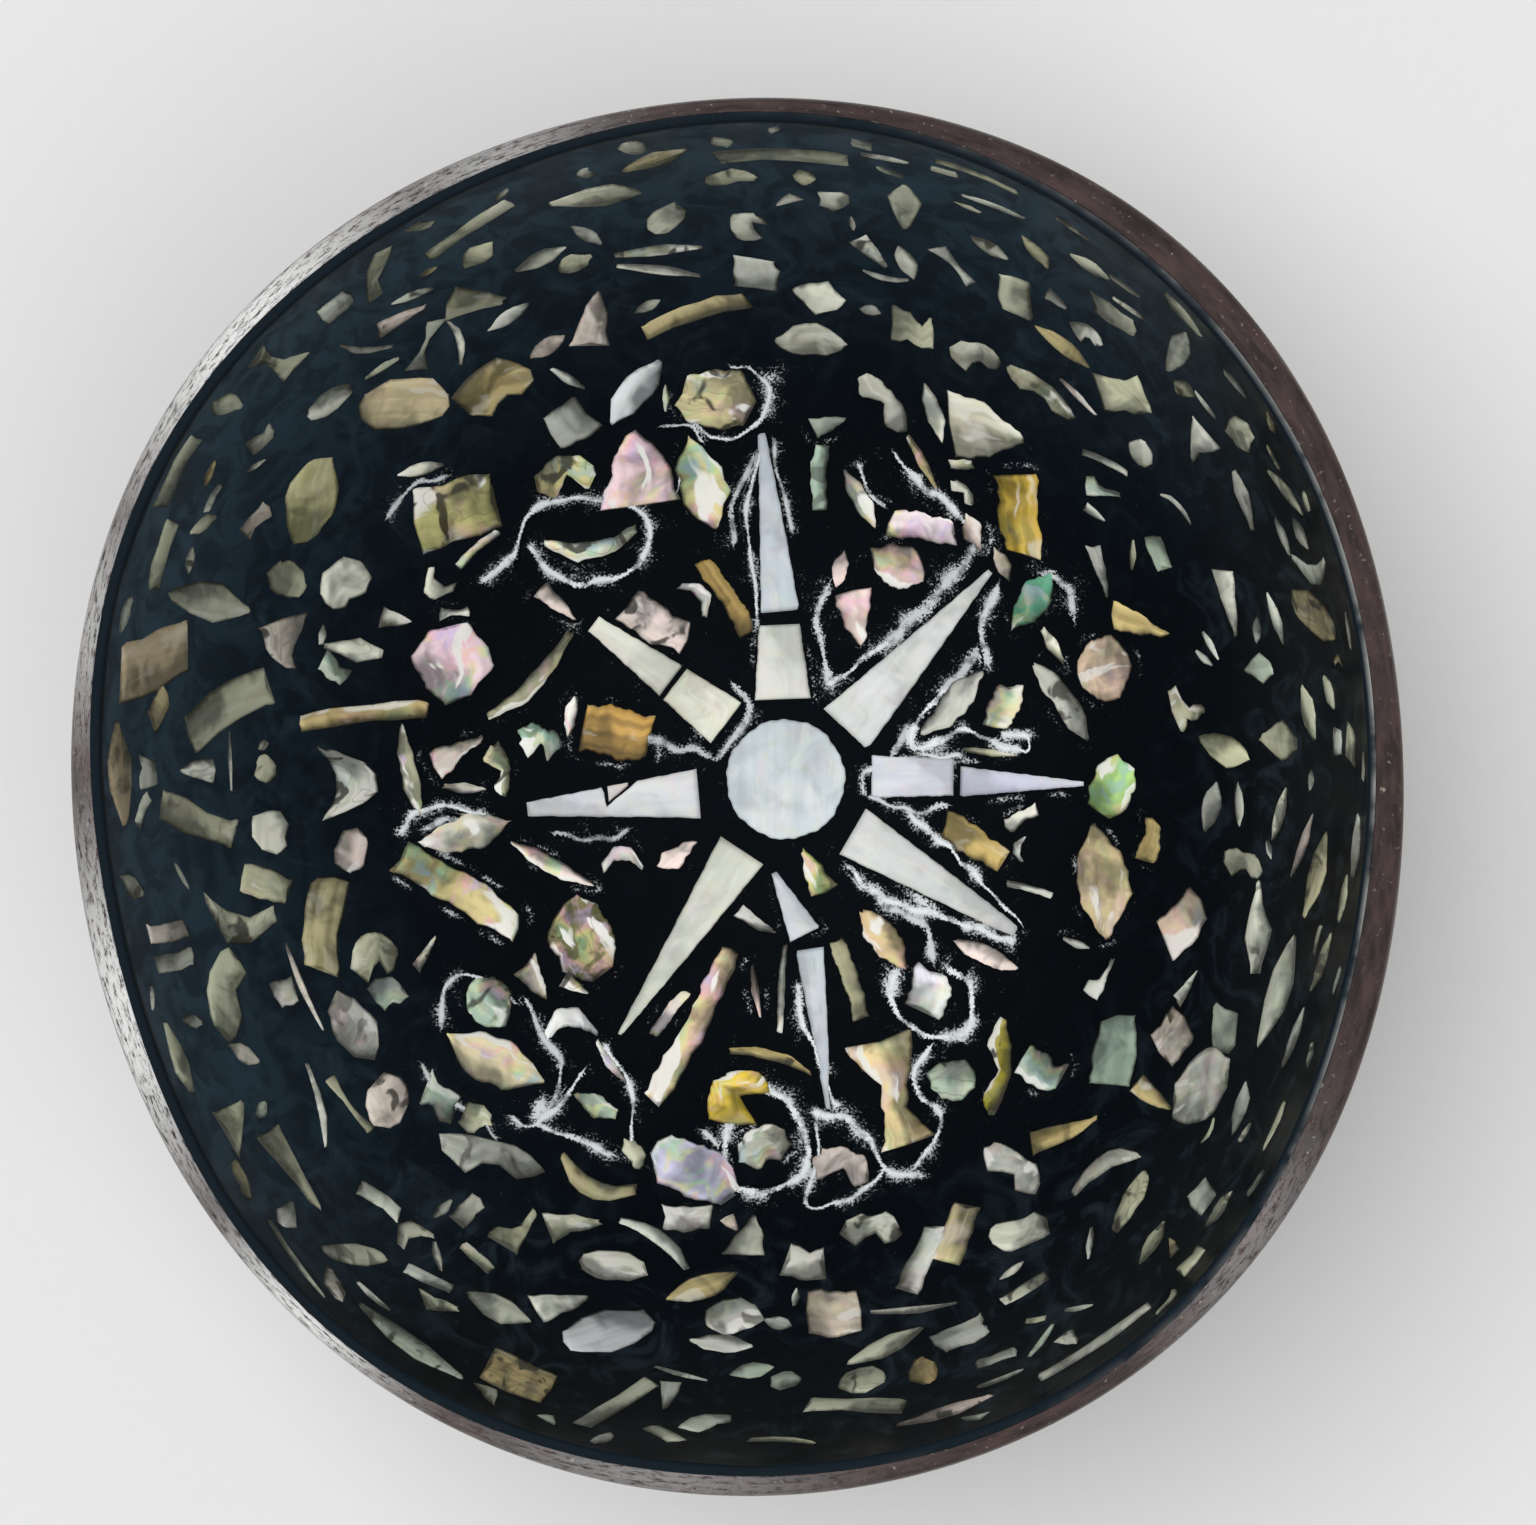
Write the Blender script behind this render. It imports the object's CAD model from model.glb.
"""Looks of a coconut shell bowl with a black lacquer lining and an inlay of pearl and broken sea shell.

Shapes are worked out in millimetres and put into their meshes in metres, in the part's own frame. A place
on the lining is given flat, as if the lining were rolled out on a table: its distance from the middle of
the floor is the arc up the lining, and its direction is the azimuth.
"""
import logging
from dataclasses import dataclass, field
from enum import Enum
from functools import cached_property

import bpy
import numpy as np
from mathutils import Matrix, Vector


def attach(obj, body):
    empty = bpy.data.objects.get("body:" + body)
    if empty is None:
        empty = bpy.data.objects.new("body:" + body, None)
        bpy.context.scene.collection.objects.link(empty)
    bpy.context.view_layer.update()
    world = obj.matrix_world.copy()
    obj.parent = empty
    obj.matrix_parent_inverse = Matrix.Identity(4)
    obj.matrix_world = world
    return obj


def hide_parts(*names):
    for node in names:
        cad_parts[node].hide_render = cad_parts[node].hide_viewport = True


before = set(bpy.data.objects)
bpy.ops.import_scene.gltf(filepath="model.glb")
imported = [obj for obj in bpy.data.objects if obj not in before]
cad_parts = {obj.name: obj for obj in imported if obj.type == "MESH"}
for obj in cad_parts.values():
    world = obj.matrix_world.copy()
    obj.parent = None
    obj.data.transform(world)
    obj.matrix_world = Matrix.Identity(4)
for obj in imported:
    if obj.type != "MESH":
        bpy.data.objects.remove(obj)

Array = np.ndarray
Socket = bpy.types.NodeSocket
Colour = tuple[int, int, int]
Light = tuple[float, float, float, float]
Waves = tuple[tuple[float, int, float], ...]

MM = 0.001
TINY = 1e-6
NEAR_AXIS = 1e-3
UNROLL_ROUNDS = 8
RIDGE_REACH = 1.7
IMAGE_WIDTH = 1536
IMAGE_HEIGHT = 1525
log = logging.getLogger("bowl")


def linear(colour: Colour) -> Light:
    """Gives a colour of 0 to 255 as the linear light that a shader takes.

    Args:
        colour: red, green and blue as a screen shows them.

    Returns:
        Linear red, green, blue, and an alpha of 1.
    """
    share = np.array(colour) / 255
    light = np.where(share < 0.04045, share / 12.92, ((share + 0.055) / 1.055) ** 2.4)
    return (*light.tolist(), 1.0)


def ease(share: Array) -> Array:
    """Smooth step from 0 to 1: three squares less two cubes of the share, held at its ends."""
    held = np.clip(share, 0, 1)
    return held * held * (3 - 2 * held)


def ripple(place: Array, pace: float, seed: int, waves: int = 6) -> Array:
    """Soft random relief: a sum of sine waves in random directions and phases.

    Args:
        place: points with two or three coordinates in the last axis.
        pace: mean number of waves to a millimetre.
        seed: seed of the directions and phases.
        waves: how many waves are added.

    Returns:
        Heights of about -1 to 1, one to a point.
    """
    draw = np.random.default_rng(seed)
    headings = draw.normal(0, 1, (waves, place.shape[-1]))
    headings *= pace * draw.uniform(0.6, 1.6, (waves, 1)) / np.linalg.norm(headings, axis=1, keepdims=True)
    phases = draw.uniform(0, 2 * np.pi, waves)
    return np.sin(2 * np.pi * place @ headings.T + phases).sum(-1) * 0.91 / np.sqrt(waves)


def bell(off: Array) -> Array:
    """Bell curve: 1 in the middle, and 1/e at an offset of 1."""
    return np.exp(-(off**2))


def around(steps: int) -> Array:
    """Azimuths at even steps round the bowl, in radians."""
    return np.linspace(0, 2 * np.pi, steps, endpoint=False)


def ways(azimuth: Array) -> Array:
    """Flat vectors of length 1 along azimuths in radians."""
    return np.stack([np.cos(azimuth), np.sin(azimuth)], -1)


def distances(line: Array) -> Array:
    """The way along a line from its start to each of its points."""
    return np.concatenate([[0], np.cumsum(np.linalg.norm(np.diff(line, axis=0), axis=1))])


def places_along(line: Array, run: Array, steps: Array) -> Array:
    """Places on a flat line at some steps, where run is the step of each of its points."""
    return np.stack([np.interp(steps, run, line[:, k]) for k in (0, 1)], -1)


class Slot(Enum):
    """Material slots of the record that the pieces take their finish from."""

    COCONUT = "coconut"
    LACQUER = "lacquer"
    PEARL = "pearl"


class Tone(Enum):
    """Tones of sea shell, with three shades of each that its chips are mixed from."""

    IVORY = ((228, 227, 212), (236, 237, 230), (216, 212, 192))
    KHAKI = ((206, 204, 168), (192, 188, 150), (214, 213, 190))
    GOLD = ((206, 176, 98), (186, 152, 78), (216, 200, 142))
    ROSE = ((234, 212, 206), (240, 226, 218), (222, 194, 186))
    JADE = ((188, 208, 186), (202, 216, 198), (156, 192, 172))
    GREY = ((204, 204, 196), (186, 188, 182), (214, 213, 204))

    @property
    def word(self) -> str:
        """The tone's name as the part's nodes spell it."""
        return self.name.lower()


class Zone(Enum):
    """Zones of the lining, from its middle to the rim."""

    FLOOR = "floor"
    CURVE = "curve"
    WALL = "wall"
    RIM = "rim"


class Recipe:
    """A material's node tree, written as calls that take and give sockets."""

    def __init__(self, name: str) -> None:
        """Starts a material with a bare principled shader.

        Args:
            name: name of the material.
        """
        self.material = bpy.data.materials.new(name)
        self.material.use_nodes = True
        self.tree = self.material.node_tree
        self.shader = self.tree.nodes["Principled BSDF"]

    def node(self, kind: str, inputs: dict[str | int, object] | None = None,
             **settings: object) -> bpy.types.Node:
        """Adds a node.

        Args:
            kind: the node's type, without its common prefix.
            inputs: values or sockets for its inputs, by name or number.
            settings: properties to set on the node.

        Returns:
            The new node.
        """
        made = self.tree.nodes.new("ShaderNode" + kind)
        for key, value in settings.items():
            setattr(made, key, value)
        for key, value in (inputs or {}).items():
            self.feed(made.inputs[key], value)
        return made

    def feed(self, entry: Socket, value: object) -> None:
        """Links a socket to an input, or sets the input to a value."""
        if isinstance(value, bpy.types.NodeSocket):
            self.tree.links.new(value, entry)
        else:
            entry.default_value = value

    def place(self) -> Socket:
        """The piece's Object coordinates."""
        return self.node("TexCoord").outputs["Object"]

    @cached_property
    def chart(self) -> Socket:
        """The piece's own UV map, in millimetres."""
        return self.node("UVMap", uv_map="chart").outputs["UV"]

    def value(self, name: str) -> Socket:
        """A number that the mesh carries at each point."""
        return self.node("Attribute", attribute_name=name).outputs["Fac"]

    def colour(self, name: str) -> Socket:
        """A colour that the mesh carries at each point."""
        return self.node("Attribute", attribute_name=name).outputs["Color"]

    def noise(self, scale: float, detail: float = 2, rough: float = 0.5, swirl: float = 0,
              where: Socket | None = None) -> Socket:
        """Fractal noise of 0 to 1, on the chart or elsewhere: scale, layers, their weight, distortion."""
        inputs = {"Vector": where or self.chart, "Scale": scale, "Detail": detail, "Roughness": rough,
                  "Distortion": swirl}
        return self.node("TexNoise", inputs).outputs["Fac"]

    def grain(self, along: float, across: float, *layers: float) -> Socket:
        """Fractal noise with a scale of its own along and across the chart, and layers as for noise."""
        inputs = {"Vector": self.chart, "Scale": (along, across, 1)}
        mapped = self.node("Mapping", inputs, vector_type="POINT").outputs["Vector"]
        return self.noise(1.0, *layers, where=mapped)

    def span(self, entry: Socket, low: float, high: float, to_low: float = 0, to_high: float = 1) -> Socket:
        """Maps the range from low to high onto to_low to to_high, smoothly and held at its ends."""
        inputs = {"Value": entry, 1: low, 2: high, 3: to_low, 4: to_high}
        return self.node("MapRange", inputs, interpolation_type="SMOOTHSTEP").outputs["Result"]

    def sums(self, operation: str, first: object, second: object = 0.0) -> Socket:
        """Arithmetic on two numbers, with no clamp."""
        return self.node("Math", {0: first, 1: second}, operation=operation).outputs["Value"]

    def plus(self, first: object, second: object) -> Socket:
        """Sum of two numbers."""
        return self.sums("ADD", first, second)

    def times(self, first: object, second: object) -> Socket:
        """Product of two numbers."""
        return self.sums("MULTIPLY", first, second)

    def ramp(self, factor: Socket, stops: tuple[tuple[float, Colour], ...]) -> Socket:
        """Colours along a factor.

        Args:
            factor: number from 0 to 1.
            stops: places on the factor and the colour at each.

        Returns:
            The colour.
        """
        made = self.node("ValToRGB", {"Fac": factor})
        marks = made.color_ramp.elements
        for _ in stops[2:]:
            marks.new(0.5)
        for mark, (at, colour) in zip(marks, stops):
            mark.position = at
            mark.color = linear(colour)
        return made.outputs["Color"]

    def mix(self, factor: object, first: object, second: object, blend: str = "MIX") -> Socket:
        """Mixes two colours.

        Args:
            factor: share of the second colour.
            first: colour or socket.
            second: colour or socket.
            blend: how the second colour acts on the first.

        Returns:
            The mixed colour.
        """
        made = self.node("Mix", data_type="RGBA", blend_type=blend)
        entries = [entry for entry in made.inputs if entry.type == "RGBA"]
        self.feed(made.inputs["Factor"], factor)
        self.feed(entries[0], first)
        self.feed(entries[1], second)
        return next(result for result in made.outputs if result.type == "RGBA")

    def coats(self, base: object, *coats: tuple[Socket, Colour]) -> Socket:
        """Lays colours over a base, one after another.

        Args:
            base: colour or socket.
            coats: share and colour of each.

        Returns:
            The colour.
        """
        for share, colour in coats:
            base = self.mix(share, base, linear(colour))
        return base

    def bump(self, height: Socket, strength: float, distance: float) -> None:
        """Roughens the shader's normal by a relief of 0 to 1, with its share and its height in metres."""
        made = self.node("Bump", {"Height": height, "Strength": strength, "Distance": distance})
        self.feed(self.shader.inputs["Normal"], made.outputs["Normal"])

    def finish(self, **entries: object) -> bpy.types.Material:
        """Sets the shader's inputs.

        Args:
            entries: values or sockets by the input's name, with underscores for its spaces.

        Returns:
            The finished material.
        """
        for key, value in entries.items():
            self.feed(self.shader.inputs[key.replace("_", " ")], value)
        return self.material


@dataclass(frozen=True)
class Nut:
    """Half a coconut: a crown's arc and a wall's arc tangent to it, turned round Z, lobed at the rim."""

    rim_r: float = 68.0
    height: float = 58.0
    crown_r: float = 95.0
    foot_r: float = 15.0
    shell_t: float = 2.2
    lining_t: float = 0.5
    lobes: Waves = ((1.5, 2, 91.0), (0.6, 3, 45.0), (0.6, 4, -38.6))
    shift: Waves = ((1.05, 1, 200.0),)
    shift_power: int = 8
    thick: Waves = ((0.7, 1, 16.0), (0.5, 2, 7.0), (0.45, 5, -21.0))

    @property
    def foot_sag(self) -> float:
        """Depth that the flat foot takes off the crown."""
        return self.crown_r - np.sqrt(self.crown_r**2 - self.foot_r**2)

    @property
    def wall_r(self) -> float:
        """Radius of the wall's arc, which is upright at the rim."""
        depth = self.height + self.foot_sag
        return (2 * self.crown_r * depth - self.rim_r**2 - depth**2) / (2 * (self.crown_r - self.rim_r))

    @property
    def wall_x(self) -> float:
        """Radius from the axis to the centre of the wall's arc."""
        return self.rim_r - self.wall_r

    @property
    def turn(self) -> float:
        """Slope at which the crown passes into the wall, in radians."""
        return float(np.arctan2(self.wall_x, self.crown_r - self.height - self.foot_sag))

    @property
    def back(self) -> float:
        """Depth of the lining's inside from the shell's outside."""
        return self.shell_t + self.lining_t

    @property
    def floor_arc(self) -> float:
        """Arc of the lining's crown."""
        return (self.crown_r - self.back) * self.turn

    @property
    def rim_arc(self) -> float:
        """Arc of the lining from its middle to the rim."""
        return self.floor_arc + (self.wall_r - self.back) * (np.pi / 2 - self.turn)

    def waves(self, terms: Waves, azimuth: Array) -> Array:
        """Sum of cosines round the bowl, each with its size, its count and the azimuth of its crest."""
        return sum(size * np.cos(count * (azimuth - np.radians(crest))) for size, count, crest in terms)

    def swell(self, back: Array, azimuth: Array) -> Array:
        """How far the nut stands out from a true round at the rim, less inside where the shell is thick."""
        thick = self.waves(self.thick, azimuth) * np.minimum(1, back / self.shell_t)
        return self.waves(self.lobes, azimuth) - thick

    def swollen(self, flat_r: Array, back: Array, azimuth: Array) -> Array:
        """Radius with the swellings, which grow with its square, and the rim's shift, with shift_power."""
        share = flat_r / self.rim_r
        shifted = self.waves(self.shift, azimuth) * share**self.shift_power
        return flat_r + self.swell(back, azimuth) * share**2 + shifted

    def point(self, slope: Array, back: Array, azimuth: Array) -> Array:
        """Points of the nut: arcs of the profile by slope, swollen towards the rim.

        Args:
            slope: slope of the profile, in radians.
            back: depth from the shell's outside.
            azimuth: direction round the axis, in radians.

        Returns:
            Points, with x, y and z in the last axis.
        """
        slope, back, azimuth = np.broadcast_arrays(slope, back, azimuth)
        wall = slope >= self.turn
        crown_x = (self.crown_r - back) * np.sin(slope)
        crown_z = self.crown_r - self.foot_sag - (self.crown_r - back) * np.cos(slope)
        flat_r = np.where(wall, self.wall_x + (self.wall_r - back) * np.sin(slope), crown_x)
        z = np.where(wall, self.height - (self.wall_r - back) * np.cos(slope), crown_z)
        r = self.swollen(flat_r, back, azimuth)
        return np.stack([r * np.cos(azimuth), r * np.sin(azimuth), z], -1)

    def slope_at(self, arc: Array) -> Array:
        """Slope of the lining at an arc from its middle."""
        crown = arc / (self.crown_r - self.back)
        wall = self.turn + (arc - self.floor_arc) / (self.wall_r - self.back)
        return np.where(arc < self.floor_arc, crown, wall)

    def lay(self, flat: Array, rise: Array) -> Array:
        """Points over the lining: a flat place's length is the arc, and its direction the azimuth."""
        arc = np.linalg.norm(flat, axis=-1)
        return self.point(self.slope_at(arc), self.back + rise, np.arctan2(flat[..., 1], flat[..., 0]))

    def unroll(self, points: Array) -> tuple[Array, Array]:
        """Flat places and rises of points over the lining, the reverse of lay.

        Args:
            points: points with x, y and z in the last axis.

        Returns:
            Flat places, and the rise of each over the lining.
        """
        azimuth = np.arctan2(points[..., 1], points[..., 0])
        r = np.hypot(points[..., 0], points[..., 1])
        flat_r = r.copy()
        for _ in range(UNROLL_ROUNDS):
            flat_r = flat_r + r - self.swollen(flat_r, np.float64(self.back), azimuth)
        drop = self.crown_r - self.foot_sag - points[..., 2]
        crown_slope = np.arctan2(flat_r, drop)
        wall_slope = np.arctan2(flat_r - self.wall_x, self.height - points[..., 2])
        wall = crown_slope >= self.turn
        depth = np.where(wall, self.wall_r - np.hypot(flat_r - self.wall_x, self.height - points[..., 2]),
                         self.crown_r - np.hypot(flat_r, drop))
        side = self.floor_arc + (wall_slope - self.turn) * (self.wall_r - self.back)
        arc = np.where(wall, side, crown_slope * (self.crown_r - self.back))
        return arc[..., None] * ways(azimuth), depth - self.back


NUT = Nut()


def tube(rows: int, columns: int) -> list[Array]:
    """Faces of closed rings of points, row by row, and of the two ends.

    Args:
        rows: number of rings.
        columns: number of points in a ring.

    Returns:
        Point numbers of the quads, of the first end and of the last end, one row to a face.
    """
    row = np.arange(rows - 1)[:, None] * columns
    column = np.arange(columns)[None, :]
    beside = (column + 1) % columns
    quads = np.stack([row + column, row + beside, row + columns + beside, row + columns + column], -1)
    return [quads.reshape(-1, 4), column[:, ::-1], (rows - 1) * columns + column]


def inside_out(faces: list[Array]) -> list[Array]:
    """The same faces, each with its points in reverse."""
    return [some[:, ::-1] for some in faces]


def make_piece(name: str, points: Array, faces: list[Array], material: bpy.types.Material,
               chart: Array, fields: dict[str, Array]) -> bpy.types.Object:
    """Puts a surface into a mesh that moves with the bowl.

    Args:
        name: name of the piece.
        points: its points in millimetres.
        faces: arrays of point numbers, one row to a face.
        material: its material.
        chart: its UV map, one place to a point.
        fields: numbers or colours that it carries at its points, by name.

    Returns:
        The new object.
    """
    mesh = bpy.data.meshes.new(name)
    mesh.from_pydata((points * MM).tolist(), [], [face for some in faces for face in some.tolist()])
    corners = np.empty(len(mesh.loops), np.int32)
    mesh.loops.foreach_get("vertex_index", corners)
    layer = mesh.uv_layers.new(name="chart")
    layer.uv.foreach_set("vector", chart[corners].astype(np.float32).ravel())
    for key, values in fields.items():
        kind, entry = ("FLOAT_COLOR", "color") if values.ndim == 2 else ("FLOAT", "value")
        data = mesh.attributes.new(key, kind, "POINT").data
        data.foreach_set(entry, values.astype(np.float32).ravel())
    mesh.polygons.foreach_set("use_smooth", np.ones(len(mesh.polygons), bool))
    mesh.materials.append(material)
    mesh.validate()
    piece = bpy.data.objects.new(name, mesh)
    bpy.context.scene.collection.objects.link(piece)
    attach(piece, "root")
    log.info("%s: %d points, %d faces", name, len(mesh.vertices), len(mesh.polygons))
    return piece


@dataclass(frozen=True)
class CoconutFinish:
    """Sanded and oiled coconut shell, with a sawn rim that is worn silver in places."""

    dark: Colour = (52, 32, 22)
    brown: Colour = (92, 60, 40)
    fibre: Colour = (168, 128, 88)
    sawn: Colour = (66, 49, 47)
    sawn_dark: Colour = (34, 25, 24)
    fleck: Colour = (176, 164, 150)
    worn: Colour = (222, 222, 220)

    def material(self) -> bpy.types.Material:
        """Mottled brown with fibres up the wall; along the rim, dark grain with flecks and worn streaks."""
        recipe = Recipe("coconut shell")
        sawn = recipe.value("sawn")
        mottle = recipe.grain(0.05, 0.03, 4, 0.6, 0.6)
        fibres = recipe.grain(1.6, 0.09, 4, 0.65)
        wall = recipe.coats(linear(self.dark), (recipe.span(mottle, 0.3, 0.7), self.brown),
                            (recipe.span(fibres, 0.55, 0.78, 0, 0.75), self.fibre))
        grain = recipe.grain(0.16, 0.7, 4, 0.7)
        speck = recipe.noise(1.3, 3, 0.65)
        streaks = recipe.grain(0.55, 2.4, 5, 0.8)
        worn = recipe.times(recipe.value("worn"), recipe.span(streaks, 0.38, 0.52))
        rim = recipe.coats(linear(self.sawn_dark), (recipe.span(grain, 0.32, 0.66), self.sawn),
                           (recipe.span(speck, 0.62, 0.74, 0, 0.6), self.fleck), (worn, self.worn))
        recipe.bump(recipe.plus(fibres, recipe.times(grain, sawn)), 0.35, 0.0004)
        return recipe.finish(Base_Color=recipe.mix(sawn, wall, rim),
                             Roughness=recipe.span(mottle, 0.2, 0.8, 0.3, 0.48),
                             Coat_Weight=0.25, Coat_Roughness=0.2)


@dataclass(frozen=True)
class LacquerFinish:
    """Black lacquer, blue-green on the wall, chalky where a ridge was rubbed down."""

    floor: Colour = (8, 11, 15)
    wall: Colour = (35, 51, 62)
    wisp: Colour = (56, 72, 82)
    deep: Colour = (8, 13, 17)
    haze: Colour = (66, 87, 102)
    brow: Colour = (20, 29, 36)
    chalk: Colour = (232, 237, 239)
    edge: Colour = (140, 142, 140)

    def material(self) -> bpy.types.Material:
        """The lacquer's own tone, chalk on the ridges, dust beside them, and a pale edge along the lip."""
        recipe = Recipe("black lacquer")
        grains = recipe.noise(3.2, 3, 0.75)
        chalk = self.rubbed(recipe, grains)
        lip = recipe.span(recipe.noise(0.15, 3, 0.6), 0.35, 0.6)
        lip = recipe.times(recipe.value("lip"), lip)
        base = recipe.coats(self.tone(recipe), (chalk, self.chalk), (lip, self.edge))
        recipe.bump(recipe.plus(chalk, recipe.times(grains, 0.06)), 0.5, 0.00015)
        rough = recipe.plus(recipe.times(chalk, 0.2), 0.3)
        return recipe.finish(Base_Color=base, Roughness=rough, Specular_IOR_Level=0.04)

    def tone(self, recipe: Recipe) -> Socket:
        """Black, blue-green up the west and north wall, hazy near the rim, with hollows and smoke.

        Args:
            recipe: the material's node tree.

        Returns:
            The colour.
        """
        height = recipe.node("SeparateXYZ", {"Vector": recipe.place()}).outputs["Z"]
        flat = recipe.node("SeparateXYZ", {"Vector": recipe.chart}).outputs
        westerly = recipe.times(recipe.sums("SUBTRACT", flat["Y"], flat["X"]), 0.012)
        milky = recipe.times(recipe.span(westerly, -0.5, 0.35, 0.12, 1), recipe.span(height, 0.009, 0.04))
        high = recipe.times(recipe.span(westerly, -0.3, 0.5), recipe.span(height, 0.03, 0.054, 0, 0.8))
        hollow = recipe.span(recipe.noise(0.16, 4, 0.6, 1.2), 0.4, 0.62, 0.5, 0)
        smoke = recipe.span(recipe.noise(0.12, 4, 0.6, 1.8), 0.48, 0.74)
        smoke = recipe.times(smoke, recipe.span(height, 0.01, 0.03, 0, 0.35))
        under_lip = recipe.span(height, 0.0566, 0.0573)
        return recipe.coats(linear(self.floor), (milky, self.wall), (high, self.haze), (hollow, self.deep),
                            (smoke, self.wisp), (under_lip, self.brow))

    def rubbed(self, recipe: Recipe, grains: Socket) -> Socket:
        """How chalky the lacquer is: a frayed line on each ridge, and loose grains of dust beside it.

        Args:
            recipe: the material's node tree.
            grains: fine noise of 0 to 1.

        Returns:
            The share of chalk.
        """
        patchy = recipe.noise(0.5, 3, 0.6)
        fray = recipe.times(recipe.sums("SUBTRACT", grains, 0.5), 3.2)
        off = recipe.plus(recipe.sums("ABSOLUTE", recipe.value("ridge")), fray)
        line = recipe.times(recipe.span(off, 0.46, 0.62, 1, 0), recipe.value("rubbed"))
        line = recipe.times(line, recipe.span(patchy, 0.36, 0.52, 0.35, 1))
        dust = recipe.value("dust")
        loose = recipe.plus(grains, recipe.times(patchy, 0.5))
        spray = recipe.span(recipe.plus(dust, loose), 0.95, 1.07)
        spray = recipe.times(spray, recipe.span(dust, 0.02, 0.35, 0.12, 0.85))
        return recipe.sums("MAXIMUM", line, spray)


@dataclass(frozen=True)
class NacreFinish:
    """Mother of pearl: the piece's own tint with clouds, streaks along it, a play of colour and flaws."""

    name: str
    clouds: float = 0.9
    streaks: float = 0.5
    play: float = 0.7
    gleam: float = 0.9
    flaws: float = 0.9
    rind: float = 0.75
    brown: Colour = (42, 38, 31)
    white: Colour = (246, 245, 238)
    shaded: Light = (0.31, 0.33, 0.34, 1)
    lit: Light = (1.24, 1.25, 1.25, 1)
    groove: Light = (0.43, 0.43, 0.4, 1)
    crest: Light = (1.1, 1.1, 1.1, 1)
    colours: tuple[tuple[float, Colour], ...] = (
        (0.3, (150, 190, 204)),
        (0.4, (164, 212, 160)),
        (0.48, (232, 222, 150)),
        (0.56, (240, 180, 186)),
        (0.66, (206, 186, 230)),
    )

    def material(self) -> bpy.types.Material:
        """The tint, shaded by slant, clouds and streaks, with patches of colour and gleam, and flaws."""
        recipe = Recipe(self.name)
        lively = recipe.value("lively")
        slant = recipe.value("slant")
        cloud = recipe.noise(0.28, 2, 0.5, 0.5)
        streak = recipe.grain(0.07, 0.8, 2, 0.45, 0.3)
        light = recipe.plus(slant, recipe.times(cloud, 1.8))
        shade = recipe.mix(recipe.span(light, 0.45, 1.2), self.shaded, self.lit)
        base = recipe.mix(self.clouds, recipe.colour("tint"), shade, "MULTIPLY")
        lines = recipe.mix(recipe.span(streak, 0.36, 0.62), self.groove, self.crest)
        base = recipe.mix(self.streaks, base, lines, "MULTIPLY")
        colours = recipe.ramp(recipe.grain(0.13, 0.2, 2, 0.5, 0.3), self.colours)
        colours = recipe.mix(0.6, colours, shade, "MULTIPLY")
        patch = recipe.span(recipe.noise(0.42, 2, 0.5, 0.8), 0.42, 0.62)
        patch = recipe.times(patch, recipe.span(lively, 0.1, 1, 0, self.play))
        base = recipe.mix(patch, base, colours)
        bright = recipe.plus(recipe.grain(0.16, 0.5, 2, 0.5, 0.6), recipe.times(slant, 0.2))
        bright = recipe.span(bright, 0.57, 0.66)
        bright = recipe.times(bright, recipe.span(lively, 0.05, 0.6, 0, self.gleam))
        base = self.flawed(recipe, slant, recipe.coats(base, (bright, self.white)))
        recipe.bump(recipe.plus(streak, cloud), 0.2, 0.00025)
        return recipe.finish(Base_Color=base, Roughness=recipe.span(cloud, 0.2, 0.8, 0.22, 0.42),
                             Coat_Weight=0.4, Coat_Roughness=0.12)

    def flawed(self, recipe: Recipe, slant: Socket, base: Socket) -> Socket:
        """Darkens a colour by fine creases along the piece, stains, and a rind at its edges.

        Args:
            recipe: the material's node tree.
            slant: how far the piece is turned to the light there.
            base: the colour.

        Returns:
            The colour with its flaws.
        """
        marks = recipe.value("marks")
        crease = recipe.sums("SUBTRACT", recipe.grain(0.16, 0.45, 1, 0.4, 0.7), 0.5)
        crease = recipe.span(recipe.sums("ABSOLUTE", crease), 0.004, 0.022, 1, 0)
        crease = recipe.times(crease, recipe.span(marks, 0.72, 1, 0, 0.4 * self.flaws))
        stain = recipe.span(recipe.noise(0.3, 2, 0.5, 0.8), 0.56, 0.66)
        stain = recipe.times(stain, recipe.span(marks, 0.45, 0.9, 0, self.flaws))
        edge = recipe.plus(recipe.value("edge"), recipe.times(recipe.noise(0.9, 3, 0.6), 0.9))
        edge = recipe.plus(edge, recipe.times(slant, 0.5))
        rind = recipe.span(edge, 0.3, 0.95, self.rind, 0)
        return recipe.coats(base, (recipe.sums("MAXIMUM", crease, stain), self.brown), (rind, self.brown))


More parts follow.
